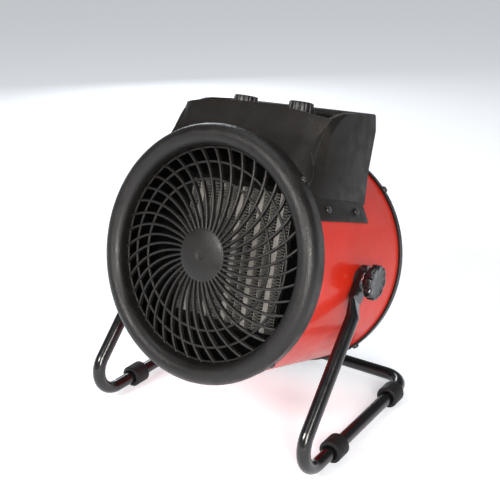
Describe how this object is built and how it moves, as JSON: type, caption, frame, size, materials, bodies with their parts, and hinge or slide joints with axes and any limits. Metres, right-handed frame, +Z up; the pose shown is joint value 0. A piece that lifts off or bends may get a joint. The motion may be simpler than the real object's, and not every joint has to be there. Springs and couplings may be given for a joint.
{
  "type": "forced air heater",
  "caption": "Drum-shaped electric fan heater with a swirl outlet grille, top console with knobs and carrying grip, tilting in a bent-tube floor stand with clamp knobs.",
  "frame": {"origin": "centre of the footprint's bounding box, on the floor under the feet", "axes": "+Z up, +X to the right seen from the front, so the outlet grille faces -Y and the intake +Y; the drum is stored tipped 17.4 degrees back, as pictured"},
  "size_m": [0.2536, 0.2278, 0.289],
  "materials": {
    "stand_gloss": "gloss black enamel over steel tube",
    "foot_rubber": "matt",
    "casing_red": "gloss powder coat",
    "bezel_black": "satin, finely grained",
    "grille_plastic": "satin",
    "intake_black": "satin powder coat",
    "housing_charcoal": "fine spark-eroded grain",
    "knob_black": "satin",
    "clamp_black": "gloss",
    "spacer_black": "satin",
    "bright_steel": "zinc plated",
    "screw_steel": "zinc plated",
    "screw_black": "black zinc",
    "shaft_plastic": "natural nylon",
    "switch_plastic": "moulded",
    "element_aluminium": "bare rolled",
    "frame_black": "heat-resistant moulding",
    "sheet_steel": "galvanised sheet",
    "cutout_steel": "drawn cap",
    "stator_iron": "varnished laminations",
    "fan_aluminium": "stamped and riveted"
  },
  "bodies": {
    "stand": {"stand_tube": "stand_gloss", "front_feet": "foot_rubber", "rear_feet": "foot_rubber"},
    "heater_body": {"air_duct": "sheet_steel", "bezel_screws": "screw_steel", "cable_gland": "spacer_black", "clamp_spacers": "spacer_black", "control_console": "housing_charcoal", "drum_casing": "casing_red", "fin_packs": "element_aluminium", "flange_screws": "screw_black", "front_bezel": "bezel_black", "front_grille": "grille_plastic", "gland_nut": "spacer_black", "handle_housing": "housing_charcoal", "motor_bracket": "sheet_steel", "motor_can": "sheet_steel", "motor_end_cap": "sheet_steel", "motor_screws": "screw_steel", "ptc_bars": "element_aluminium", "ptc_dividers": "element_aluminium", "ptc_frame": "frame_black", "rear_grille": "intake_black", "rear_rim": "bezel_black", "rear_rim_screws": "screw_steel", "selector_switch_body": "switch_plastic", "stator": "stator_iron", "terminal_block": "switch_plastic", "thermal_cutout": "cutout_steel", "thermostat_body": "sheet_steel", "weld_nuts": "bright_steel"},
    "left_clamp": {"left_clamp_knob": "clamp_black", "left_clamp_stud": "bright_steel", "left_clamp_washer": "bright_steel"},
    "right_clamp": {"right_clamp_knob": "clamp_black", "right_clamp_stud": "bright_steel", "right_clamp_washer": "bright_steel"},
    "selector": {"selector_knob": "knob_black", "selector_shaft": "shaft_plastic"},
    "thermostat": {"thermostat_knob": "knob_black", "thermostat_shaft": "shaft_plastic"},
    "fan_rotor": {"axial_fan": "fan_aluminium", "rotor_shaft": "bright_steel", "fan_nut": "screw_steel"}
  },
  "joints": [
    {"name": "tilt", "type": "hinge", "parent": "stand", "child": "heater_body", "pos_m": [0, 0.00007, 0.14875], "axis": [-1, 0, 0], "range_deg": [-40, 70]},
    {"name": "left_clamp_turn", "type": "hinge", "parent": "heater_body", "child": "left_clamp", "pos_m": [-0.115, 0.00007, 0.14875], "axis": [-1, 0, 0], "range_deg": [0, 360]},
    {"name": "right_clamp_turn", "type": "hinge", "parent": "heater_body", "child": "right_clamp", "pos_m": [0.115, 0.00007, 0.14875], "axis": [1, 0, 0], "range_deg": [0, 360]},
    {"name": "selector_turn", "type": "hinge", "parent": "heater_body", "child": "selector", "pos_m": [-0.0295, 0.02543, 0.2718], "axis": [0, 0.299, 0.9542], "range_deg": [0, 270]},
    {"name": "thermostat_turn", "type": "hinge", "parent": "heater_body", "child": "thermostat", "pos_m": [0.0295, 0.02543, 0.2718], "axis": [0, 0.299, 0.9542], "range_deg": [0, 300]},
    {"name": "fan_spin", "type": "hinge", "parent": "heater_body", "child": "fan_rotor", "pos_m": [0, 0.00007, 0.14875], "axis": [0, -0.9542, 0.299], "continuous": true}
  ]
}
